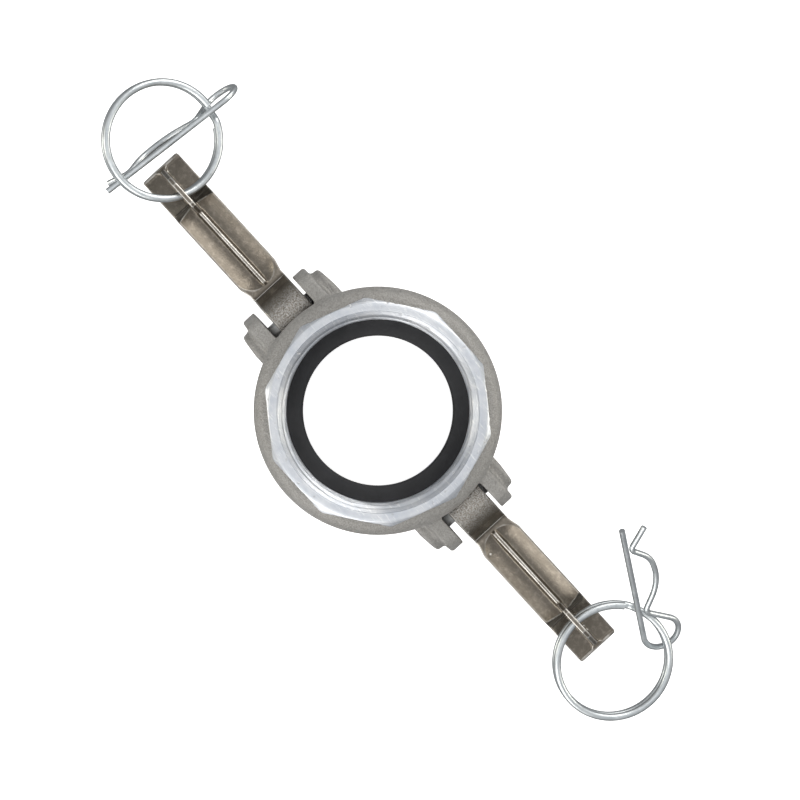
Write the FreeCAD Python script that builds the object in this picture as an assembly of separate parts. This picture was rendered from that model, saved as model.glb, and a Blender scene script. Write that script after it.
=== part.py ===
"""Two-inch quick-release hose coupling, the female half with a female pipe thread.

The coupling stands on its open mouth. +Z runs up its axis to the threaded end, and the origin is
the centre of the mouth. The cam arms swing in the XZ plane, arm a at +X and arm b at -X, and both
lie open with their finger tips on the surface that the mouth stands on. All sizes are millimetres.
"""

import FreeCAD, Part
import math
import os

V = FreeCAD.Vector
X_AXIS, Y_AXIS, Z_AXIS = V(1, 0, 0), V(0, 1, 0), V(0, 0, 1)

# ---- body: the socket, the shoulder and the threaded hub -------------------------------------
length = 62.0  # mouth face to thread face
socket_radius = 31.8  # takes the 63 mm adapter of a two-inch coupling
socket_lead = 0.6  # chamfer at the mouth
wall_radius = 38.9  # outside of the socket, at its widest
wall_draft = 0.5  # how much narrower the outside is at the mouth
mouth_round = 1.3
shoulder_start = 33.0  # height where the outside starts to round in
shoulder_round = 5.0
hub_flats = 10
hub_across_flats = 66.7
hub_face_radius = 33.15  # outer edge of the turned end face
hub_chamfer_slope = math.tan(math.radians(35))
seat_bottom, seat_top, seat_radius = 28.0, 34.4, 33.0  # gasket groove

# ---- pipe thread ------------------------------------------------------------------------------
thread_crest_radius = 28.5
thread_depth = 1.3
thread_pitch = 2.309
thread_entry_radius = 30.75  # entry chamfer at the face
thread_bottom = 37.6
thread_root_width = 0.45
thread_flank = math.tan(math.radians(27.5))

# ---- gasket -----------------------------------------------------------------------------------
gasket_outer, gasket_inner, gasket_height = 32.95, 23.5, 6.3

# ---- pivots, ears and cam windows -------------------------------------------------------------
pivot_x, pivot_z = 40.0, 13.0
pin_radius, pin_half_length, pin_chamfer = 3.0, 15.6, 0.5
window_half_width, window_bottom, window_top, window_round = 8.35, 3.4, 25.2, 2.0
ear_plate_outer, ear_plate_radius = 13.2, 9.6
ear_lobe_radius = 4.3  # round the lock hole
boss_outer_tip, boss_outer_root, boss_radius = 16.3, 17.0, 6.1
ear_edge_round = 0.9

# ---- cam arm, in its own frame: pivot at the origin, +X to the finger tip, +Z to the ribbed side
arm_side_shift = 0.8  # the arm floats between the ears
arm_hole_radius = 3.08
cam_centre, cam_radius, cam_half_width = (1.3, 1.6), 9.3, 6.5
handle_start, trough_start, trough_end = 10.5, 20.0, 47.6
flange_half_width, flange_edge_z, flange_floor_z, flange_back_z = 7.45, -3.3, -5.3, -8.5
flange_lip, trough_inner, trough_sag = 0.45, 0.8, 0.45  # rim width, trough start beside the rib, hollow
finger_drop = math.radians(13.1)  # slope of the finger pad below the flange
finger_half_width, finger_thickness, finger_rim = 7.4, 2.5, 0.45
finger_corner_round = 0.9
arm_tip_x = 64.9
rib_top_half, rib_base_half, rib_top_z = 0.5, 1.2, -2.4
eye_half, eye_top_z = 0.85, 2.0  # the deeper part of the rib, round the ring hole
ring_hole = (53.05, -2.5)
ring_hole_radius = 3.25
lock_hole = (10.6, -3.4)
lock_hole_radius = 1.6

# ---- split ring, in its own frame: centred on the origin, flat in XY, the wire's outer end at +X
ring_wire, ring_mid_radius, ring_turn_pitch = 1.2, 18.5, 2.45
ring_step_start, ring_step_end, ring_end = 339.0, 356.0, 696.0  # degrees round the wire
ring_step_reach = 1.4  # how much of each end of the step is a bend
ring_hang = 18.1  # ring hole to ring centre

# ---- retaining clip, in its own frame: the straight leg's tip at the origin, the leg along +X,
# ---- and the sprung leg on the +Y side
clip_wire = 0.98
clip_leg, clip_head_radius, clip_head_turn = 46.6, 6.0, 232.0
clip_sprung_leg = (  # straight run, then bend radius and bend angle, from the head to the tip
    (7.7, 2.2, -84.0),
    (4.2, 18.0, 40.0),
    (0.8, 9.2, 38.0),
    (3.3, 1.9, -86.0),
)
clip_flared_run = 7.4

# ---- how the loose pieces lie: yaw, pitch and roll are about Z, then Y, then X
ring_a_pose = (1.2, 12.65, 0.0)
ring_b_pose = (158.2, -8.98, 15.39)
ring_a_turn, ring_b_turn = 126.8, -74.2  # where the wire's end lies round the ring
clip_a_tip, clip_a_pose = (79.23, 30.94, 33.11), (-27.87, 36.36, -9.57)
clip_b_tip, clip_b_pose = (-109.48, -16.51, 13.36), (85.41, 1.24, -70.18)


def box(x0, x1, y0, y1, z0, z1):
    """A box between two corners."""
    return Part.makeBox(x1 - x0, y1 - y0, z1 - z0, V(x0, y0, z0))


def polygon_face(points):
    """A flat face from a list of corner points."""
    return Part.Face(Part.makePolygon(list(points) + [points[0]]))


def arc(start, middle, end):
    return Part.Arc(start, middle, end).toShape()


def line(start, end):
    return Part.LineSegment(start, end).toShape()


def revolved(profile):
    """A solid of revolution about Z from (radius, height) corners."""
    face = polygon_face([V(r, 0, z) for r, z in profile])
    return face.revolve(V(0, 0, 0), Z_AXIS, 360)


def along_y(shape, low, high):
    """Extrudes an XZ face from y = low to y = high."""
    return shape.translated(V(0, low, 0)).extrude(V(0, high - low, 0))


def rounded(shape, radius, edges):
    """The shape with those edges rounded, or unchanged where the kernel can't round them."""
    for share in (1.0, 0.7, 0.4):
        try:
            made = shape.makeFillet(radius * share, edges)
        except Part.OCCError:
            continue
        if made.isValid() and made.Volume > 0:
            return made
    return shape


# ---- body -------------------------------------------------------------------------------------
def body_blank():
    """The turned and cast outside of the body with no ears: socket wall, shoulder and hub."""
    shoulder_r = wall_radius - shoulder_round
    mouth_r = wall_radius - wall_draft
    slant = math.sqrt(0.5)
    edges = [
        line(V(0, 0, 0), V(mouth_r - mouth_round, 0, 0)),
        arc(
            V(mouth_r - mouth_round, 0, 0),
            V(mouth_r - mouth_round * (1 - slant), 0, mouth_round * (1 - slant)),
            V(mouth_r, 0, mouth_round),
        ),
        line(V(mouth_r, 0, mouth_round), V(wall_radius, 0, shoulder_start)),
        arc(
            V(wall_radius, 0, shoulder_start),
            V(shoulder_r + shoulder_round * slant, 0, shoulder_start + shoulder_round * slant),
            V(shoulder_r, 0, shoulder_start + shoulder_round),
        ),
        line(V(shoulder_r, 0, shoulder_start + shoulder_round), V(0, 0, shoulder_start + shoulder_round)),
        line(V(0, 0, shoulder_start + shoulder_round), V(0, 0, 0)),
    ]
    wall = Part.Face(Part.Wire(edges)).revolve(V(0, 0, 0), Z_AXIS, 360)
    return wall.fuse(hub_prism())


def hub_prism():
    """The wrench flats, with the chamfer that the lathe leaves on their corners."""
    corner_radius = hub_across_flats / 2 / math.cos(math.pi / hub_flats)
    corners = [
        V(
            corner_radius * math.cos(2 * math.pi * k / hub_flats),
            corner_radius * math.sin(2 * math.pi * k / hub_flats),
            shoulder_start,
        )
        for k in range(hub_flats)
    ]
    prism = polygon_face(corners).extrude(V(0, 0, length - shoulder_start))
    reach = corner_radius + 1.0
    turned = revolved(
        [
            (0, shoulder_start - 1),
            (reach, shoulder_start - 1),
            (reach, length - (reach - hub_face_radius) * hub_chamfer_slope),
            (hub_face_radius, length),
            (0, length),
        ]
    )
    return prism.common(turned)


def ear_pair():
    """The two ears at +X that hold one pivot pin, drawn past the wall so that they fuse into it."""
    lock_x, lock_z = pivot_x - lock_hole[1], pivot_z + lock_hole[0]
    root = 34.0
    pivot_disc = Part.makeCylinder(
        ear_plate_radius, ear_plate_outer - window_half_width, V(pivot_x, window_half_width, pivot_z), Y_AXIS
    )
    lock_disc = Part.makeCylinder(
        ear_lobe_radius, ear_plate_outer - window_half_width, V(lock_x, window_half_width, lock_z), Y_AXIS
    )
    web = along_y(
        polygon_face(
            [
                V(root, 0, pivot_z - ear_plate_radius),
                V(pivot_x, 0, pivot_z - ear_plate_radius),
                V(pivot_x + ear_plate_radius * 0.94, 0, pivot_z + ear_plate_radius * 0.34),
                V(lock_x + ear_lobe_radius * 0.93, 0, lock_z + ear_lobe_radius * 0.36),
                V(lock_x, 0, lock_z + ear_lobe_radius),
                V(root, 0, shoulder_start - 1.5),
            ]
        ),
        window_half_width,
        ear_plate_outer,
    )
    plate = pivot_disc.fuse([lock_disc, web]).removeSplitter()
    boss_section = lambda y, grow: Part.Wire(
        [
            line(V(root, y, pivot_z - boss_radius - grow), V(pivot_x, y, pivot_z - boss_radius - grow)),
            arc(
                V(pivot_x, y, pivot_z - boss_radius - grow),
                V(pivot_x + boss_radius + grow, y, pivot_z),
                V(pivot_x, y, pivot_z + boss_radius + grow),
            ),
            line(V(pivot_x, y, pivot_z + boss_radius + grow), V(root, y, pivot_z + boss_radius + grow)),
            line(V(root, y, pivot_z + boss_radius + grow), V(root, y, pivot_z - boss_radius - grow)),
        ]
    )
    foot, rim = boss_section(ear_plate_outer - 2.0, 0.35), boss_section(boss_outer_root, 0.0)
    boss = Part.makeLoft([foot, rim], True)
    slant = polygon_face(
        [
            V(root - 1, 0, 0),
            V(root - 1, boss_outer_root + 0.2, 0),
            V(pivot_x - 1, boss_outer_root, 0),
            V(pivot_x + boss_radius + 1, boss_outer_tip - 0.1, 0),
            V(pivot_x + boss_radius + 1, 0, 0),
        ]
    ).extrude(V(0, 0, 40))
    boss = boss.common(slant)
    boss = rounded(boss, 1.2, [e for e in boss.Edges if e.BoundBox.YMin > ear_plate_outer + 1.0])
    outer_edges = [
        e
        for e in plate.Edges
        if abs(e.BoundBox.YMin - ear_plate_outer) < 1e-6 and e.BoundBox.XMax > root + 1
    ]
    plate = rounded(plate, ear_edge_round, outer_edges)
    ear = plate.fuse(boss)
    return [ear, ear.mirror(V(0, 0, 0), Y_AXIS)]


def window():
    """The opening in the wall at +X that the cam swings through."""
    cut = box(
        socket_radius - 6, pivot_x + 12, -window_half_width, window_half_width, window_bottom, window_top
    )
    inner = [
        e
        for e in cut.Edges
        if e.BoundBox.XLength > 1 and e.BoundBox.YLength < 1e-6 and e.BoundBox.ZLength < 1e-6
    ]
    return cut.makeFillet(window_round, inner)


def pipe_thread_cut():
    """The helical groove of the pipe thread, from below its last turn to above the face."""
    overlap = 0.4
    half_root = thread_root_width / 2
    half_mouth = half_root + (thread_depth + overlap) * thread_flank
    root_r = thread_crest_radius + thread_depth
    mouth_r = thread_crest_radius - overlap
    turns = (length - thread_bottom) / thread_pitch + 1.0
    profile = Part.makePolygon(
        [
            V(mouth_r, 0, -half_mouth),
            V(root_r, 0, -half_root),
            V(root_r, 0, half_root),
            V(mouth_r, 0, half_mouth),
            V(mouth_r, 0, -half_mouth),
        ]
    )
    helix = Part.makeLongHelix(thread_pitch, turns * thread_pitch, root_r)
    cutter = Part.Wire(helix.Edges).makePipeShell([profile], True, True)
    return cutter.translated(V(0, 0, thread_bottom))


def body():
    shell = body_blank()
    ears = ear_pair()
    shell = shell.fuse(ears + [e.rotated(V(0, 0, 0), Z_AXIS, 180) for e in ears]).removeSplitter()
    passage = revolved(
        [
            (0, -1),
            (socket_radius + socket_lead + 1, -1),
            (socket_radius, socket_lead),
            (socket_radius, seat_bottom),
            (seat_radius, seat_bottom),
            (seat_radius, seat_top),
            (thread_crest_radius, seat_top),
            (thread_crest_radius, length - (thread_entry_radius - thread_crest_radius)),
            (thread_entry_radius + 1, length + 1),
            (0, length + 1),
        ]
    )
    pin_hole = Part.makeCylinder(
        pin_radius, 2 * boss_outer_root + 4, V(pivot_x, -boss_outer_root - 2, pivot_z), Y_AXIS
    )
    lock = Part.makeCylinder(
        lock_hole_radius,
        2 * boss_outer_root + 4,
        V(pivot_x - lock_hole[1], -boss_outer_root - 2, pivot_z + lock_hole[0]),
        Y_AXIS,
    )
    cuts = [passage]
    for tool in (window(), pin_hole, lock):
        cuts += [tool, tool.rotated(V(0, 0, 0), Z_AXIS, 180)]
    shell = shell.cut(cuts)
    return shell.cut(pipe_thread_cut())


# ---- gasket -----------------------------------------------------------------------------------
def gasket():
    """A square-section ring with eased corners and the shallow groove that lets it spring into its seat."""
    low = seat_bottom + (seat_top - seat_bottom - gasket_height) / 2
    high = low + gasket_height
    ease, groove = 0.5, 0.6
    middle = (low + high) / 2
    return revolved(
        [
            (gasket_inner + ease, low),
            (gasket_outer - ease, low),
            (gasket_outer, low + ease),
            (gasket_outer, middle - 2 * groove),
            (gasket_outer - groove, middle - groove),
            (gasket_outer - groove, middle + groove),
            (gasket_outer, middle + 2 * groove),
            (gasket_outer, high - ease),
            (gasket_outer - ease, high),
            (gasket_inner + ease, high),
            (gasket_inner, high - ease),
            (gasket_inner, low + ease),
        ]
    )


def pivot_pin():
    pin = Part.makeCylinder(
        pin_radius, 2 * pin_half_length, V(pivot_x, -pin_half_length, pivot_z), Y_AXIS
    )
    ends = [e for e in pin.Edges if e.BoundBox.YLength < 1e-6 and e.BoundBox.XLength > pin_radius]
    return pin.makeChamfer(pin_chamfer, ends)


# ---- cam arm ----------------------------------------------------------------------------------
def cam_block():
    """The eccentric cam, with the steep face that drops from it to the handle."""
    cx, cz = cam_centre
    at = lambda degrees: V(
        cx + cam_radius * math.cos(math.radians(degrees)),
        0,
        cz + cam_radius * math.sin(math.radians(degrees)),
    )
    low, high = at(-78), at(25)
    block_back_z = flange_back_z + 0.7
    outline = Part.Wire(
        [
            arc(low, at(150), high),
            line(high, V(12.0, 0, -2.5)),
            line(V(12.0, 0, -2.5), V(14.4, 0, -4.6)),
            line(V(14.4, 0, -4.6), V(13.0, 0, block_back_z)),
            line(V(13.0, 0, block_back_z), V(9.0, 0, block_back_z)),
            line(V(9.0, 0, block_back_z), low),
        ]
    )
    block = along_y(Part.Face(outline), -cam_half_width, cam_half_width)
    sides = [
        e
        for e in block.Edges
        if e.BoundBox.YLength < 1e-6 and e.BoundBox.XMax < 12.5 and e.BoundBox.ZMax > -2.0
    ]
    return rounded(block, 0.7, sides)


def handle_section(x):
    """The handle's cross-section before the troughs are cut: rounded rims and a bowed back."""
    w, top, rim = flange_half_width, flange_edge_z, 0.4
    slant = rim * (1 - math.sqrt(0.5))
    side_low = flange_back_z + 2.4
    return Part.Wire(
        [
            arc(V(x, w, top - rim), V(x, w - slant, top - slant), V(x, w - rim, top)),
            line(V(x, w - rim, top), V(x, rim - w, top)),
            arc(V(x, rim - w, top), V(x, slant - w, top - slant), V(x, -w, top - rim)),
            line(V(x, -w, top - rim), V(x, -w, side_low)),
            arc(V(x, -w, side_low), V(x, 0, flange_back_z), V(x, w, side_low)),
            line(V(x, w, side_low), V(x, w, top - rim)),
        ]
    )


def trough():
    """The hollow on the +Y side of the rib: one long sweep of an arc, closed by a quarter turn at the cam."""
    inner, outer = trough_inner, flange_half_width - flange_lip
    chord = V(0, outer - inner, flange_edge_z - flange_floor_z)
    hollow = V(0, chord.z, -chord.y).normalize() * trough_sag
    foot, edge = V(trough_start, inner, flange_floor_z), V(trough_start, outer, flange_edge_z)
    over_edge, over_foot = edge + V(0, 0.8, 1.1), V(trough_start, inner, flange_edge_z + 1.1)
    face = Part.Face(
        Part.Wire(
            [
                arc(foot, foot + chord * 0.5 + hollow, edge),
                line(edge, over_edge),
                line(over_edge, over_foot),
                line(over_foot, foot),
            ]
        )
    )
    long_part = face.extrude(V(trough_end + 3 - trough_start, 0, 0))
    return long_part.fuse(face.revolve(V(trough_start, inner, 0), Z_AXIS, 90))


def handle():
    """The long flange between the cam and the finger pad, narrowed in plan towards the cam."""
    flange = Part.Face(handle_section(handle_start)).extrude(V(trough_end + 3 - handle_start, 0, 0))
    w = flange_half_width + 0.5
    plan = polygon_face(
        [
            V(handle_start - 1, -cam_half_width, -12),
            V(14.2, -cam_half_width, -12),
            V(18.0, -flange_half_width - 0.01, -12),
            V(18.0, -w, -12),
            V(trough_end + 4, -w, -12),
            V(trough_end + 4, w, -12),
            V(18.0, w, -12),
            V(18.0, flange_half_width + 0.01, -12),
            V(14.2, cam_half_width, -12),
            V(handle_start - 1, cam_half_width, -12),
        ]
    ).extrude(V(0, 0, 14))
    beyond = along_y(
        polygon_face(
            [
                V(trough_end - 1.2, 0, flange_edge_z + 1),
                V(trough_end + 0.3, 0, flange_floor_z + 0.3),
                V(trough_end + 1.9, 0, flange_floor_z - 1.1),
                V(trough_end + 1.9, 0, -12),
                V(trough_end + 6, 0, -12),
                V(trough_end + 6, 0, flange_edge_z + 1),
            ]
        ),
        -w - 1,
        w + 1,
    )
    hollows = [trough(), trough().mirror(V(0, 0, 0), Y_AXIS)]
    return flange.common(plan).cut(hollows + [beyond])


def finger_pad():
    """The sloping pad at the end of the handle, with a thin raised rim across its tip."""
    start_x, start_z = trough_end - 3.0, flange_back_z + 2.6
    run = (arm_tip_x - start_x) / math.cos(finger_drop)
    outline = polygon_face(
        [
            V(0, 0, 0),
            V(run - 1.5, 0, 0),
            V(run - 0.95, 0, finger_rim),
            V(run - 0.4, 0, finger_rim),
            V(run, 0, finger_rim - 0.4),
            V(run, 0, -finger_thickness + 0.5),
            V(run - 0.5, 0, -finger_thickness),
            V(0, 0, -finger_thickness),
        ]
    )
    pad = along_y(outline, -finger_half_width, finger_half_width)
    blank = box(-1, run, -finger_half_width, finger_half_width, -4, 2)
    tip_corners = [e for e in blank.Edges if e.BoundBox.ZLength > 5 and e.BoundBox.XMin > run - 1e-3]
    pad = pad.common(blank.makeFillet(finger_corner_round, tip_corners))
    spread = polygon_face(
        [
            V(run - 3.9, -0.5, -0.5),
            V(run - 2.3, -0.9, -0.5),
            V(run - 1.0, -2.3, -0.5),
            V(run - 0.5, -2.3, -0.5),
            V(run - 0.5, 2.3, -0.5),
            V(run - 1.0, 2.3, -0.5),
            V(run - 2.3, 0.9, -0.5),
            V(run - 3.9, 0.5, -0.5),
        ]
    ).extrude(V(0, 0, 0.5 + finger_rim))
    pad = pad.fuse(spread)
    pad.rotate(V(0, 0, 0), Y_AXIS, math.degrees(finger_drop))
    pad.translate(V(start_x, 0, start_z))
    return pad


def rib():
    """The web down the middle of the arm, thinner at its top, with a deeper eye at the finger end."""
    outline = polygon_face(
        [
            V(9.5, 0, -3.6),
            V(13.4, 0, -3.5),
            V(14.6, 0, rib_top_z - 0.2),
            V(16.4, 0, rib_top_z),
            V(44.8, 0, rib_top_z + 0.3),
            V(47.4, 0, eye_top_z - 0.6),
            V(48.6, 0, eye_top_z),
            V(56.6, 0, eye_top_z),
            V(59.2, 0, eye_top_z - 1.7),
            V(62.0, 0, -6.0),
            V(63.4, 0, -8.6),
            V(63.4, 0, -11.2),
            V(47.0, 0, -7.0),
            V(9.5, 0, -7.0),
        ]
    )
    blade = along_y(outline, -2, 2)
    section = polygon_face(
        [
            V(0, -rib_base_half, -12),
            V(0, -rib_base_half, flange_floor_z),
            V(0, -rib_top_half, rib_top_z + 0.4),
            V(0, -rib_top_half, rib_top_z + 1.0),
            V(0, rib_top_half, rib_top_z + 1.0),
            V(0, rib_top_half, rib_top_z + 0.4),
            V(0, rib_base_half, flange_floor_z),
            V(0, rib_base_half, -12),
        ]
    ).extrude(V(45.6, 0, 0))
    eye = box(45.3, arm_tip_x, -eye_half, eye_half, -12, eye_top_z + 0.1)
    return blade.common(section.fuse(eye))


def cam_arm():
    """One arm in its own frame."""
    arm = cam_block().fuse([handle(), finger_pad(), rib()]).removeSplitter()
    holes = [
        Part.makeCylinder(radius, 40, V(x, -20, z), Y_AXIS)
        for (x, z), radius in (
            ((0, 0), arm_hole_radius),
            (lock_hole, lock_hole_radius),
            (ring_hole, ring_hole_radius),
        )
    ]
    return arm.cut(holes)


def placed_arm(side):
    """An arm on its pin: side is 1 at +X and -1 at -X."""
    arm = cam_arm()
    if side < 0:
        arm.rotate(V(0, 0, 0), Z_AXIS, 180)
    arm.translate(V(side * pivot_x, arm_side_shift, pivot_z))
    return arm


# ---- split ring -------------------------------------------------------------------------------
def ring_point(degrees):
    """A point on the wire's centre line, on its upper turn before the step and its lower one after."""
    height = ring_turn_pitch / 2 if degrees <= ring_step_start else -ring_turn_pitch / 2
    a = math.radians(degrees)
    return V(ring_mid_radius * math.cos(a), ring_mid_radius * math.sin(a), height)


def ring_heading(degrees):
    a = math.radians(degrees)
    return V(-math.sin(a), math.cos(a), 0)


def flat_turn(start, end):
    return arc(ring_point(start), ring_point((start + end) / 2), ring_point(end))


def eased_corner(corner, arriving, leaving, reach):
    """The arc that rounds a corner, from reach before it to reach after it."""
    half_turn = arriving.getAngle(leaving) / 2
    inward = (leaving - arriving).normalize()
    radius = reach / math.tan(half_turn)
    middle = corner + inward * (radius / math.cos(half_turn) - radius)
    return arc(corner - arriving * reach, middle, corner + leaving * reach)


def split_ring():
    """Two flat turns of one wire, with a short slanting step from the upper one to the lower."""
    over, under = ring_heading(ring_step_start), ring_heading(ring_step_end)
    top = ring_point(ring_step_start) + over * ring_step_reach
    foot = ring_point(ring_step_end) - under * ring_step_reach
    slope = (foot - top).normalize()
    path = Part.Wire(
        [
            flat_turn(0, ring_step_start),
            eased_corner(top, over, slope, ring_step_reach),
            line(top + slope * ring_step_reach, foot - slope * ring_step_reach),
            eased_corner(foot, slope, under, ring_step_reach),
            flat_turn(ring_step_end, ring_end),
        ]
    )
    circle = Part.Wire(Part.makeCircle(ring_wire, ring_point(0), ring_heading(0)))
    return path.makePipeShell([circle], True, False)


def placed_ring(side, pose, turn):
    """A ring hung in the ring hole of one arm, at that arm's open position."""
    turned = FreeCAD.Rotation(*pose)
    hole = V(side * (pivot_x + ring_hole[0]), arm_side_shift, pivot_z + ring_hole[1])
    centre = hole + turned.multVec(V(ring_hang, 0, 0))
    ring = split_ring().rotated(V(0, 0, 0), Z_AXIS, turn)
    return ring.transformed(FreeCAD.Placement(centre, turned).toMatrix())


# ---- retaining clip ---------------------------------------------------------------------------
def bend(start, heading, radius, degrees):
    """An arc that leaves start along heading and turns by that angle, with its end and new heading."""
    side = 1 if degrees > 0 else -1
    centre = start + V(-math.sin(heading), math.cos(heading), 0) * radius * side
    at = lambda h: centre + V(math.sin(h), -math.cos(h), 0) * radius * side
    end_heading = heading + math.radians(degrees)
    edge = arc(start, at((heading + end_heading) / 2), at(end_heading))
    return edge, at(end_heading), end_heading


def clip():
    """One wire: straight leg, head loop, neck, bow, and the flared end that rides on the leg."""
    point, heading = V(clip_leg, 0, 0), 0.0
    edges = [line(V(0, 0, 0), point)]
    edge, point, heading = bend(point, heading, clip_head_radius, clip_head_turn)
    edges.append(edge)
    for run, radius, degrees in clip_sprung_leg:
        if run:
            end = point + V(math.cos(heading), math.sin(heading), 0) * run
            edges.append(line(point, end))
            point = end
        edge, point, heading = bend(point, heading, radius, degrees)
        edges.append(edge)
    tip = point + V(math.cos(heading), math.sin(heading), 0) * clip_flared_run
    edges.append(line(point, tip))
    circle = Part.Wire(Part.makeCircle(clip_wire, V(0, 0, 0), X_AXIS))
    return Part.Wire(edges).makePipeShell([circle], True, False)


def placed_clip(tip, pose):
    place = FreeCAD.Placement(V(*tip), FreeCAD.Rotation(*pose))
    return clip().transformed(place.toMatrix())


def main():
    os.makedirs("parts", exist_ok=True)
    made = {
        "coupling_body": body(),
        "gasket": gasket(),
        "pivot_pin_a": pivot_pin(),
        "pivot_pin_b": pivot_pin().rotated(V(0, 0, 0), Z_AXIS, 180),
        "cam_arm_a": placed_arm(1),
        "cam_arm_b": placed_arm(-1),
        "pull_ring_a": placed_ring(1, ring_a_pose, ring_a_turn),
        "pull_ring_b": placed_ring(-1, ring_b_pose, ring_b_turn),
        "safety_clip_a": placed_clip(clip_a_tip, clip_a_pose),
        "safety_clip_b": placed_clip(clip_b_tip, clip_b_pose),
    }
    for name, shape in made.items():
        print(name, "valid" if shape.isValid() else "broken", len(shape.Solids), round(shape.Volume), "mm3")
        shape.exportStep(f"parts/{name}.step")


if __name__ == "__main__":
    main()
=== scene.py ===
import math

import bmesh
import bpy
from mathutils import Matrix, Vector, noise


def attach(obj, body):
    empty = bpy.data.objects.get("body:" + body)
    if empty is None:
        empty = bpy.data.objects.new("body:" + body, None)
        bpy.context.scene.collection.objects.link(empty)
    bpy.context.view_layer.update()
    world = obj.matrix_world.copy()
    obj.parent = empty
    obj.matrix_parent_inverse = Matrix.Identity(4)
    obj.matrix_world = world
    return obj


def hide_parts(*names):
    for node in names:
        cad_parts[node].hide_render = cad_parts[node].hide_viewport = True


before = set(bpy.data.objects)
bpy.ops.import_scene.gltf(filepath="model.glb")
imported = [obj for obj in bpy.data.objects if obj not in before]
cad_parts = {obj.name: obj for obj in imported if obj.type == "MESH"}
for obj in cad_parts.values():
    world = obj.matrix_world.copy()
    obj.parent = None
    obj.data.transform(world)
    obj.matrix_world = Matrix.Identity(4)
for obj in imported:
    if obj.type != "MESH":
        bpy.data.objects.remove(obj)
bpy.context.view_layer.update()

MM = 0.001
WELD = 0.001 * MM  # points of the CAD's facets that are closer than this are one

# ---- the machined hub, in millimetres, as the CAD has it ---------------------------------------
LENGTH = 62.0
HUB_FLATS = 10
HUB_APOTHEM = 33.35
HUB_CORNER_BREAK = 0.12
HUB_FACE_RADIUS = 33.15
HUB_CHAMFER = math.tan(math.radians(35))
THREAD_CREST, THREAD_DEPTH, THREAD_PITCH = 28.5, 1.3, 2.309
THREAD_ENTRY, THREAD_BOTTOM, THREAD_FADE = 30.75, 37.6, 1.6
THREAD_ROOT_HALF = 0.22
THREAD_FLANK = math.tan(math.radians(27.5))
SEAT_TOP = 34.4

# ---- what the visual hub adds to it, in millimetres ----------------------------------------------
ENTRY_BREAK, ENTRY_BREAK_DROP = 29.6, 0.835  # the entry cone is two cuts, the upper one flatter
LINER_OUTER = 30.9  # the machined piece goes this far into the casting
CLEAR_BEHIND, CLEAR_BELOW = 0.3, 0.35  # how far the casting keeps behind its bore and below its face
SKIN_SMOOTHING = 3  # rounds of softening for a cast skin
BORE_FOOT = SEAT_TOP + 0.1
BORE_TOP = LENGTH - 0.12
BORE_ROWS = 136
HUB_COLUMNS = 720


# ---- mesh helpers ------------------------------------------------------------------------------
def smooth_piece(name, mesh, sharp, body):
    """An object on a body, smooth-shaded, with the edges that turn by more than that angle kept crisp."""
    mesh.shade_smooth()
    mesh.set_sharp_from_angle(angle=math.radians(sharp))
    piece = bpy.data.objects.new(name, mesh)
    bpy.context.scene.collection.objects.link(piece)
    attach(piece, body)
    return piece


def closed_grid(profiles):
    """Vertices and faces of closed profiles set side by side, the last one next to the first."""
    columns, rows = len(profiles), len(profiles[0])
    vertices = [point for profile in profiles for point in profile]
    faces = []
    for column in range(columns):
        start, next_start = column * rows, (column + 1) % columns * rows
        for row in range(rows):
            above = (row + 1) % rows
            faces.append((start + row, next_start + row, next_start + above, start + above))
    return vertices, faces


def turned(name, profile_at, columns, sharp):
    """A closed solid round the axis: profile_at(angle) gives its section as (radius, height) points."""
    profiles = []
    for column in range(columns):
        angle = 2 * math.pi * column / columns
        c, s = math.cos(angle) * MM, math.sin(angle) * MM
        profiles.append([(radius * c, radius * s, height * MM) for radius, height in profile_at(angle)])
    vertices, faces = closed_grid(profiles)
    mesh = bpy.data.meshes.new(name)
    mesh.from_pydata(vertices, [], faces)
    mesh.validate()
    return smooth_piece(name, mesh, sharp, body="body")


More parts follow.
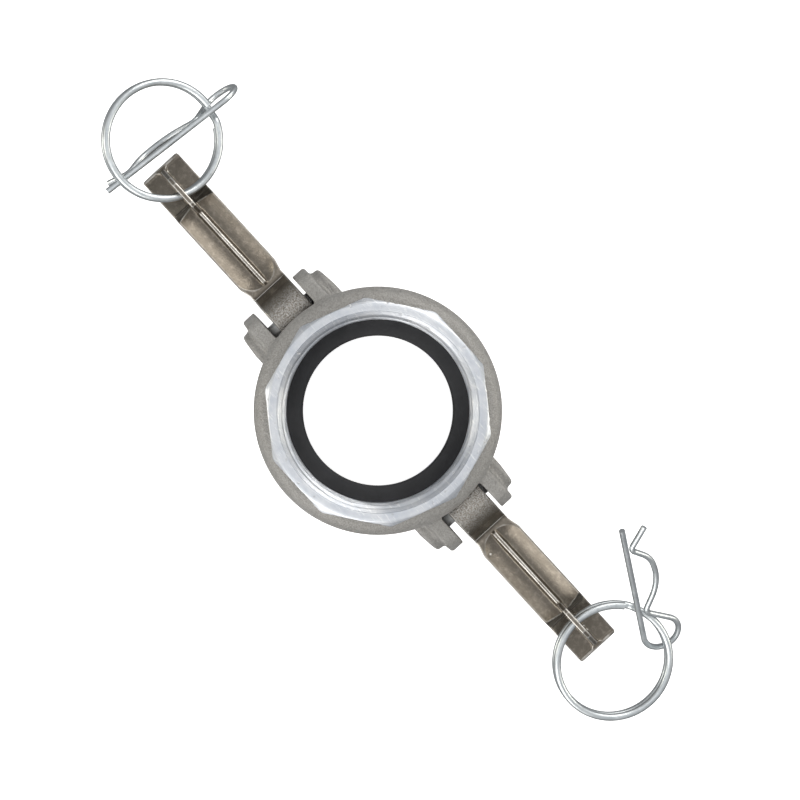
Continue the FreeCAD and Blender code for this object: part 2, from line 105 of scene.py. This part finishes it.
# ---- materials ---------------------------------------------------------------------------------
class Nodes:
    """A short way to write a material. A noise's scale is in waves per metre, a bump's distance in metres."""

    def __init__(self, name):
        self.material = bpy.data.materials.new(name)
        self.material.use_nodes = True
        self.tree = self.material.node_tree
        self.shader = self.tree.nodes["Principled BSDF"]

    def feed(self, socket, value):
        """Links a socket to another node's output, or sets it to a plain value."""
        if isinstance(value, bpy.types.NodeSocket):
            self.tree.links.new(value, socket)
        else:
            socket.default_value = value

    def add(self, kind, inputs=None, **settings):
        node = self.tree.nodes.new(kind)
        for key, value in settings.items():
            setattr(node, key, value)
        for key, value in (inputs or {}).items():
            self.feed(node.inputs[key], value)
        return node

    def place(self, scale=(1, 1, 1)):
        coordinates = self.add("ShaderNodeTexCoord")
        mapping = self.add("ShaderNodeMapping", {"Vector": coordinates.outputs["Object"], "Scale": scale})
        return mapping.outputs["Vector"]

    def noise(self, where, scale, detail=4.0, roughness=0.55):
        made = self.add(
            "ShaderNodeTexNoise",
            {"Vector": where, "Scale": scale, "Detail": detail, "Roughness": roughness},
        )
        return made.outputs["Fac"]

    def ramp(self, value, low, high, low_to=0.0, high_to=1.0):
        """Low to high becomes low_to to high_to, and stays there beyond."""
        made = self.add(
            "ShaderNodeMapRange",
            {"Value": value, "From Min": low, "From Max": high, "To Min": low_to, "To Max": high_to},
        )
        return made.outputs["Result"]

    def math(self, operation, a, b=0.0):
        return self.add("ShaderNodeMath", {0: a, 1: b}, operation=operation).outputs["Value"]

    def mix(self, share, a, b):
        """Colour a where the share is 0, colour b where it is 1."""
        factor, first, second, result = 0, 6, 7, 2  # the colour sockets of a mix node
        made = self.add("ShaderNodeMix", {}, data_type="RGBA")
        for number, value in ((factor, share), (first, a), (second, b)):
            self.feed(made.inputs[number], value)
        return made.outputs[result]

    def bump(self, height, distance, strength=1.0, normal=None):
        inputs = {"Height": height, "Distance": distance, "Strength": strength}
        if normal is not None:
            inputs["Normal"] = normal
        return self.add("ShaderNodeBump", inputs).outputs["Normal"]

    def shade(self, **values):
        """Feeds the shader: base_color=... is its Base Color, and so on."""
        for key, value in values.items():
            self.feed(self.shader.inputs[key.replace("_", " ").title()], value)
        return self.material


def grey(value, warm):
    """A grey with a little more red and a little less blue."""
    return (value * (1 + warm), value, value * (1 - 1.6 * warm), 1.0)


def cast_aluminium():
    """Sand-cast skin: an even grey with a fine peppered grain, small dark pores and faint stains."""
    n = Nodes("cast_aluminium")
    where = n.place()
    grain = n.noise(where, 2300.0, 3.0, 0.7)
    pores = n.noise(where, 900.0, 3.0, 0.6)
    stain = n.noise(where, 45.0, 4.0, 0.6)
    tone = n.mix(n.ramp(stain, 0.3, 0.72), grey(0.246, 0.038), grey(0.284, 0.030))
    tone = n.mix(n.ramp(grain, 0.42, 0.66, 0.0, 0.75), tone, grey(0.43, 0.02))
    tone = n.mix(n.ramp(pores, 0.32, 0.44, 0.32, 0.0), tone, grey(0.15, 0.03))
    normal = n.bump(grain, 0.00014, 0.8)
    normal = n.bump(n.ramp(pores, 0.3, 0.7), 0.0002, 0.6, normal)
    return n.shade(
        base_color=tone,
        metallic=0.55,
        roughness=n.ramp(pores, 0.3, 0.7, 0.46, 0.66),
        normal=normal,
    )


def turned_aluminium():
    """A face off the lathe: fine rings round the axis, brighter than the casting, with scuffs and dings."""
    n = Nodes("turned_aluminium")
    where = n.place()
    x, y, z = n.add("ShaderNodeSeparateXYZ", {"Vector": where}).outputs
    radius = n.math("SQRT", n.math("ADD", n.math("MULTIPLY", x, x), n.math("MULTIPLY", y, y)))
    rings = n.math("SINE", n.math("ADD", n.math("MULTIPLY", radius, 21000.0), n.math("MULTIPLY", z, 9000.0)))
    wander = n.math("MULTIPLY", n.noise(where, 90.0, 2.0, 0.5), 0.5)
    along = n.add(
        "ShaderNodeCombineXYZ",
        {"X": n.math("MULTIPLY", radius, 3200.0), "Y": n.math("MULTIPLY", z, 1100.0), "Z": wander},
    )
    uneven = n.noise(along.outputs["Vector"], 1.0, 3.0, 0.65)
    blotch = n.noise(where, 130.0, 5.0, 0.65)
    dings = n.ramp(n.noise(where, 420.0, 3.0, 0.6), 0.64, 0.72)
    scuff = n.ramp(n.noise(n.place((1.0, 5.0, 1.0)), 260.0, 4.0, 0.6), 0.56, 0.70)
    tone = n.mix(n.ramp(blotch, 0.3, 0.7), (0.50, 0.53, 0.58, 1), (0.72, 0.73, 0.745, 1))
    tone = n.mix(n.ramp(uneven, 0.35, 0.65, 0.35, 0.0), tone, (0.50, 0.52, 0.56, 1))
    tone = n.mix(n.math("MULTIPLY", scuff, 0.55), tone, (0.93, 0.93, 0.92, 1))
    tone = n.mix(n.math("MULTIPLY", dings, 0.4), tone, (0.42, 0.41, 0.40, 1))
    height = n.math("ADD", n.math("MULTIPLY", rings, 0.3), uneven)
    normal = n.bump(height, 0.00006, 0.6)
    normal = n.bump(n.math("SUBTRACT", 1.0, dings), 0.00015, 0.6, normal)
    return n.shade(
        base_color=tone,
        metallic=0.9,
        roughness=n.ramp(uneven, 0.3, 0.7, 0.26, 0.44),
        normal=normal,
    )


def moulded_rubber():
    """Black rubber with a little dust on it."""
    n = Nodes("gasket_rubber")
    where = n.place()
    dust = n.noise(where, 90.0, 5.0, 0.65)
    fine = n.noise(where, 1300.0, 2.0, 0.6)
    tone = n.mix(n.ramp(dust, 0.35, 0.75), (0.036, 0.036, 0.038, 1), (0.062, 0.062, 0.065, 1))
    return n.shade(
        base_color=tone,
        roughness=n.ramp(dust, 0.3, 0.7, 0.48, 0.66),
        normal=n.bump(fine, 0.00006, 0.5),
    )


def cast_stainless():
    """Tumbled investment casting: brownish grey, orange-peel cams with painted glints on their peaks, and a
    painted highlight along the edges and rib tops.
    """
    n = Nodes("cast_stainless")
    where = n.place()
    split = n.add("ShaderNodeSeparateXYZ", {"Vector": where})
    along_arm = n.math("ABSOLUTE", split.outputs["X"])
    across_arm = n.math("ABSOLUTE", split.outputs["Y"])
    cam = n.ramp(along_arm, 0.0440, 0.0495, 1.0, 0.0)
    # Painted highlight: convex edges and rib tops (high pointiness) are painted a pale colour, standing in
    # for the light they catch.
    edge = n.add("ShaderNodeNewGeometry").outputs["Pointiness"]
    uneven = n.ramp(n.noise(where, 500.0), 0.3, 0.7, -0.004, 0.004)
    inside_the_rims = n.ramp(across_arm, 0.0055, 0.0062, 0.85, 0.2)
    painted_edge_highlight = n.math("MULTIPLY", n.ramp(n.math("ADD", edge, uneven), 0.506, 0.530), inside_the_rims)
    skin = n.noise(where, 620.0, 4.0, 0.65)
    peel = n.noise(where, 2100.0, 2.0, 0.6)
    patch = n.noise(where, 75.0, 4.0, 0.6)
    tone = n.mix(n.ramp(patch, 0.35, 0.68), (0.172, 0.151, 0.124, 1), (0.208, 0.184, 0.153, 1))
    tone = n.mix(n.ramp(skin, 0.5, 0.78, 0.0, 0.5), tone, (0.42, 0.375, 0.32, 1))
    tone = n.mix(n.ramp(skin, 0.3, 0.42, 0.35, 0.0), tone, (0.12, 0.102, 0.083, 1))
    # Painted glints: the peaks of the orange peel on the cams are painted pale, standing in for sparkling
    # highlights.
    painted_cam_glints = n.math("MULTIPLY", cam, n.ramp(peel, 0.38, 0.64, 0.08, 0.85))
    tone = n.mix(painted_cam_glints, tone, (0.54, 0.525, 0.505, 1))
    # The painted highlight on the edges and rib tops goes on last.
    tone = n.mix(painted_edge_highlight, tone, (0.78, 0.75, 0.70, 1))
    normal = n.bump(skin, 0.00006, 0.5)
    normal = n.bump(n.math("MULTIPLY", peel, n.ramp(cam, 0.0, 1.0, 0.4, 1.0)), 0.00030, 0.8, normal)
    return n.shade(
        base_color=tone,
        metallic=0.95,
        roughness=n.ramp(patch, 0.35, 0.68, 0.30, 0.35),
        normal=normal,
    )


def zinc_wire():
    """Bright zinc plate with a faint blue cast, cloudy in places."""
    n = Nodes("zinc_wire")
    where = n.place()
    cloud = n.noise(where, 150.0, 5.0, 0.65)
    fine = n.noise(where, 900.0, 3.0, 0.6)
    tone = n.mix(n.ramp(cloud, 0.3, 0.72), (0.55, 0.585, 0.60, 1), (0.74, 0.77, 0.785, 1))
    tone = n.mix(n.ramp(fine, 0.32, 0.45, 0.3, 0.0), tone, (0.36, 0.38, 0.39, 1))
    return n.shade(
        base_color=tone,
        metallic=1.0,
        roughness=n.ramp(cloud, 0.3, 0.7, 0.30, 0.42),
        normal=n.bump(fine, 0.00003, 0.3),
    )


def pin_steel():
    """Ground pins, bright and slightly cloudy."""
    n = Nodes("pin_steel")
    where = n.place()
    cloud = n.noise(where, 300.0, 4.0, 0.6)
    tone = n.mix(n.ramp(cloud, 0.3, 0.7), (0.68, 0.68, 0.68, 1), (0.90, 0.90, 0.89, 1))
    return n.shade(base_color=tone, metallic=1.0, roughness=n.ramp(cloud, 0.3, 0.7, 0.25, 0.42))


CAST, TURNED, RUBBER = cast_aluminium(), turned_aluminium(), moulded_rubber()
STAINLESS, ZINC, PIN = cast_stainless(), zinc_wire(), pin_steel()


def dress(piece, material):
    """Gives a piece its look here: its material."""
    piece.data.materials.clear()
    piece.data.materials.append(material)


# ---- the machined hub: thread, entry cone, face and chamfer ----------------------------------------
def hub_radius(angle):
    """Outer radius of the ten-sided hub, with a corner on the +X axis and each corner just broken."""
    step = 2 * math.pi / HUB_FLATS
    from_flat = angle % step - step / 2
    corner = HUB_APOTHEM / math.cos(step / 2)
    return min(HUB_APOTHEM / math.cos(from_flat), corner - HUB_CORNER_BREAK)


def groove(angle, height):
    """Depth of the thread groove at a height: flat root, straight flanks, fading out at the bottom."""
    phase = (height - THREAD_BOTTOM - THREAD_PITCH * angle / (2 * math.pi)) / THREAD_PITCH
    from_root = abs(phase - round(phase)) * THREAD_PITCH
    depth = THREAD_DEPTH - max(0.0, from_root - THREAD_ROOT_HALF) / THREAD_FLANK
    fade = min(1.0, max(0.0, (height - THREAD_BOTTOM + THREAD_FADE) / THREAD_FADE))
    return max(0.0, depth) * fade


def nicks(angle):
    """How far chips and torn cast skin eat into the hub's edge, in millimetres."""
    at = Vector((math.cos(angle), math.sin(angle), 0.0))
    fine = noise.fractal(at * 14.0, 0.7, 2.1, 4)
    coarse = noise.noise(at * 5.0 + Vector((3.1, 0.0, 1.7)))
    return max(0.0, fine * 0.16 + coarse * 0.12)


def bore_radius(angle, height):
    """The thread, and above it the two cuts of the entry cone."""
    cone_foot = LENGTH - (THREAD_ENTRY - THREAD_CREST)
    cone_break = LENGTH - ENTRY_BREAK_DROP
    if height >= cone_break:
        return ENTRY_BREAK + (THREAD_ENTRY - ENTRY_BREAK) * (height - cone_break) / ENTRY_BREAK_DROP
    lower_cut = THREAD_CREST + (ENTRY_BREAK - THREAD_CREST) * (height - cone_foot) / (cone_break - cone_foot)
    return max(lower_cut, THREAD_CREST + groove(angle, height))


def hub_profile(angle):
    """The section at an angle: up the bore, over a tool mark and the face, down inside the casting."""
    outer = hub_radius(angle) - nicks(angle)
    chamfer_foot = LENGTH - (outer - HUB_FACE_RADIUS) * HUB_CHAMFER
    heights = [BORE_FOOT + (BORE_TOP - BORE_FOOT) * row / BORE_ROWS for row in range(BORE_ROWS + 1)]
    bore = [(bore_radius(angle, height), height) for height in heights]
    tool_mark = [
        (THREAD_ENTRY - 0.07, LENGTH - 0.22),
        (THREAD_ENTRY + 0.05, LENGTH - 0.03),
    ]
    face = [
        (THREAD_ENTRY + 0.15, LENGTH),
        (HUB_FACE_RADIUS - 0.1, LENGTH),
    ]
    chamfer = [
        (HUB_FACE_RADIUS + 0.05, LENGTH - 0.05 * HUB_CHAMFER - 0.02),
        (outer - 0.04, chamfer_foot + 0.02),
        (outer + 0.02, chamfer_foot - 0.05),
        (outer + 0.02, chamfer_foot - 0.7),
    ]
    inside_the_casting = [
        (LINER_OUTER + 0.8, chamfer_foot - 1.6),
        (LINER_OUTER, LENGTH - 5),
        (LINER_OUTER, BORE_FOOT),
    ]
    return bore + tool_mark + face + chamfer + inside_the_casting


dress(turned("hub_turned", hub_profile, HUB_COLUMNS, sharp=28.0), TURNED)


# ---- pieces made from the CAD nodes ----------------------------------------------------------------
def apply_modifiers(piece):
    depsgraph = bpy.context.evaluated_depsgraph_get()
    made = bpy.data.meshes.new_from_object(piece.evaluated_get(depsgraph))
    piece.modifiers.clear()
    piece.data = made


def skin(name, node, body, voxel, reshape=None):
    """A CAD node's shape as one even, soft-edged skin that takes the node's place; voxel in millimetres."""
    piece = bpy.data.objects.new(name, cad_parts[node].data.copy())
    bpy.context.scene.collection.objects.link(piece)
    if reshape:
        for vertex in piece.data.vertices:
            vertex.co = reshape(vertex.co / MM) * MM
    remesh = piece.modifiers.new("skin", "REMESH")
    remesh.mode = "VOXEL"
    remesh.voxel_size = voxel * MM
    smooth = piece.modifiers.new("soft", "SMOOTH")
    smooth.factor, smooth.iterations = 0.5, SKIN_SMOOTHING
    apply_modifiers(piece)
    piece.data.shade_smooth()
    piece.data.name = name
    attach(piece, body)
    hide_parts(node)
    return piece


def drawn(name, node, body):
    """A CAD node's shape with its facets blended, for drawn wire, moulded rubber and ground pins."""
    work = bmesh.new()
    work.from_mesh(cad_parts[node].data)
    bmesh.ops.remove_doubles(work, verts=work.verts, dist=WELD)
    work.verts.index_update()
    mesh = bpy.data.meshes.new(name)
    mesh.from_pydata([v.co for v in work.verts], [], [[v.index for v in f.verts] for f in work.faces])
    work.free()
    piece = smooth_piece(name, mesh, sharp=45.0, body=body)
    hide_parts(node)
    return piece


def clear_of_hub(point):
    """Moves the bore of the casting behind the machined piece, and its top just under that piece's face."""
    x, y, z = point
    radius = math.hypot(x, y)
    behind = LINER_OUTER - CLEAR_BEHIND
    if z > SEAT_TOP + 0.15 and radius < behind:
        grow = behind / max(radius, 1.0)
        x, y = x * grow, y * grow
        radius = behind
    lid = LENGTH - max(0.0, radius - HUB_FACE_RADIUS) * HUB_CHAMFER - CLEAR_BELOW
    return Vector((x, y, min(z, lid)))


casting = skin("body_casting", "coupling_body", "body", voxel=0.5, reshape=clear_of_hub)
dress(casting, CAST)
dress(drawn("gasket_moulding", "gasket", "body"), RUBBER)
for side in "ab":
    dress(drawn(f"pin_{side}_ground", f"pivot_pin_{side}", "body"), PIN)
    arm = skin(f"arm_{side}_casting", f"cam_arm_{side}", f"arm_{side}", voxel=0.24)
    dress(arm, STAINLESS)
    dress(drawn(f"ring_{side}_wire", f"pull_ring_{side}", f"ring_{side}"), ZINC)
    dress(drawn(f"clip_{side}_wire", f"safety_clip_{side}", f"clip_{side}"), ZINC)

# ---- floor, light and camera, in metres --------------------------------------------------------------
FLOOR_HALF, FLOOR_DROP = 3.0, 0.2 * MM
DOME_LEVELS = ((0.0, 0.34), (0.25, 0.66), (0.6, 0.74), (0.9, 0.80))  # how high a direction points, how bright
DOME_TINT = (0.97, 0.985, 1.0)
DOME_ACROSS, DOME_ALONG_THE_ARMS, ALONG_THE_ARMS = 1.05, 0.78, 0.8
WARM, CREAM, COOL = (1.0, 0.975, 0.93), (1.0, 0.96, 0.85), (0.97, 0.98, 1.0)


def make_floor():
    """A pale floor that lights itself a little, and that shiny pieces don't mirror."""
    corners = [(x * FLOOR_HALF, y * FLOOR_HALF, -FLOOR_DROP) for x, y in ((-1, -1), (1, -1), (1, 1), (-1, 1))]
    mesh = bpy.data.meshes.new("floor")
    mesh.from_pydata(corners, [], [(0, 1, 2, 3)])
    mesh.materials.append(
        Nodes("studio_floor").shade(
            base_color=(0.9, 0.9, 0.9, 1),
            roughness=0.9,
            emission_color=(1, 1, 1, 1),
            emission_strength=0.86,
        )
    )
    floor = bpy.data.objects.new("floor", mesh)
    floor.visible_glossy = False
    bpy.context.scene.collection.objects.link(floor)


def studio_world():
    """A soft dome: pale overhead, dimmer towards the horizon and along the arms, dark below."""
    world = bpy.data.worlds.new("studio")
    world.use_nodes = True
    tree = world.node_tree
    background = tree.nodes["Background"]
    direction = tree.nodes.new("ShaderNodeTexCoord")
    split = tree.nodes.new("ShaderNodeSeparateXYZ")
    ramp = tree.nodes.new("ShaderNodeValToRGB")
    sideways = tree.nodes.new("ShaderNodeMath")
    sideways.operation = "ABSOLUTE"
    dim = tree.nodes.new("ShaderNodeMapRange")
    dim.inputs["From Max"].default_value = ALONG_THE_ARMS
    dim.inputs["To Min"].default_value = DOME_ACROSS
    dim.inputs["To Max"].default_value = DOME_ALONG_THE_ARMS
    for source, target in (
        (direction.outputs["Generated"], split.inputs["Vector"]),
        (split.outputs["Z"], ramp.inputs["Fac"]),
        (ramp.outputs["Color"], background.inputs["Color"]),
        (split.outputs["X"], sideways.inputs[0]),
        (sideways.outputs["Value"], dim.inputs["Value"]),
        (dim.outputs["Result"], background.inputs["Strength"]),
    ):
        tree.links.new(source, target)
    stops = ramp.color_ramp.elements
    stops[0].position, stops[1].position = DOME_LEVELS[0][0], DOME_LEVELS[-1][0]
    for position, _ in DOME_LEVELS[1:-1]:
        stops.new(position)
    for stop, (_, level) in zip(stops, DOME_LEVELS):
        stop.color = (*(level * share for share in DOME_TINT), 1)
    bpy.context.scene.world = world


def area_light(name, place, target, size, power, tint, seen=True):
    """A round lamp of that width and power in watts; an unseen one doesn't show to the camera."""
    light = bpy.data.lights.new(name, "AREA")
    light.shape = "DISK"
    light.size = size
    light.energy = power
    light.color = tint
    lamp = bpy.data.objects.new(name, light)
    lamp.location = place
    lamp.visible_camera = seen
    lamp.rotation_mode = "QUATERNION"
    lamp.rotation_quaternion = (Vector(target) - Vector(place)).to_track_quat("-Z", "Y")
    bpy.context.scene.collection.objects.link(lamp)


make_floor()
studio_world()
for name, turn in (("back", 1), ("front", -1)):
    area_light(f"box_{name}", (-0.30 * turn, 0.78 * turn, 0.60), (0, 0, 0.03), 0.85, 4.6, WARM)
for name, turn in (("right", 1), ("left", -1)):
    area_light(f"card_{name}", (0.61 * turn, 0.66 * turn, 0.28), (0, 0, 0.05), 0.42, 1.7, CREAM)
area_light("lens_box", (0, 0, 0.52), (0, 0, 0), 0.17, 0.07, COOL, seen=False)

# The view is straight down on the threaded end, a little off the coupling's axis.
CAMERA_LENS, CAMERA_DISTANCE = 136.6, 0.92
CAMERA_ROLL = math.radians(-47.5)  # which way arm a points in the picture
AXIS_SLOPE = Vector((-0.0098, 0.0118, -1.0))  # the coupling's axis, away from the camera
HUB_SLOPE = Vector((-0.00719, -0.00403, -1.0))  # towards the middle of the threaded face


def make_camera():
    up = -AXIS_SLOPE.normalized()
    right = Vector((math.cos(CAMERA_ROLL), math.sin(CAMERA_ROLL), 0))
    right = (right - up * right.dot(up)).normalized()
    to_camera = Matrix((right, up.cross(right), up)).transposed()
    data = bpy.data.cameras.new("camera")
    data.lens, data.sensor_width = CAMERA_LENS, 36.0
    camera = bpy.data.objects.new("camera", data)
    bpy.context.scene.collection.objects.link(camera)
    to_world = to_camera.transposed()
    place = Vector((0, 0, LENGTH * MM)) - to_world @ (HUB_SLOPE * CAMERA_DISTANCE)
    camera.matrix_world = Matrix.Translation(place) @ to_world.to_4x4()
    bpy.context.scene.camera = camera


make_camera()
bpy.context.scene.view_settings.view_transform = "Standard"
